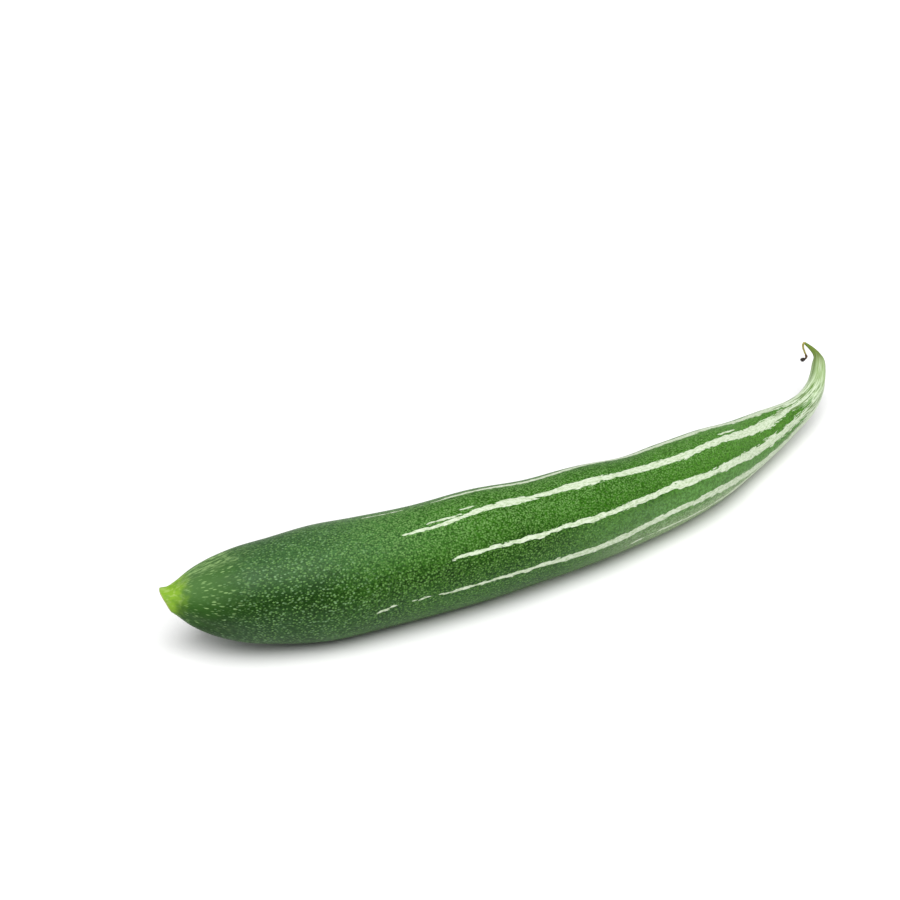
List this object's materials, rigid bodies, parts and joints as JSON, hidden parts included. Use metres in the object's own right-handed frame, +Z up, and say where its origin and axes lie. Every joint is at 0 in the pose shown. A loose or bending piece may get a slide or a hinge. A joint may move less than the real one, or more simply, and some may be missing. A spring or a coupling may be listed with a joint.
{
  "type": "whole snake gourd",
  "caption": "Whole snake gourd lying on its side, thick towards the stalk, bowed, and tapering to a lifted, hooked tip with a withered flower.",
  "frame": {"origin": "on the table under the middle of the box around the gourd", "axes": "+Z up, +X from the stalk end to the tip end along the longest extent; the gourd bows out towards -Y"},
  "size_m": [0.3566, 0.071, 0.0452],
  "materials": {
    "skin": "waxy dark green skin with pale specks and ragged pale stripes, yellow-green at the stalk, pale green at the tip",
    "withered": "dried, shrivelled flower, olive to brown-black, matt"
  },
  "bodies": {
    "root": {"gourd": "skin", "withered_flower": "withered"}
  },
  "joints": []
}
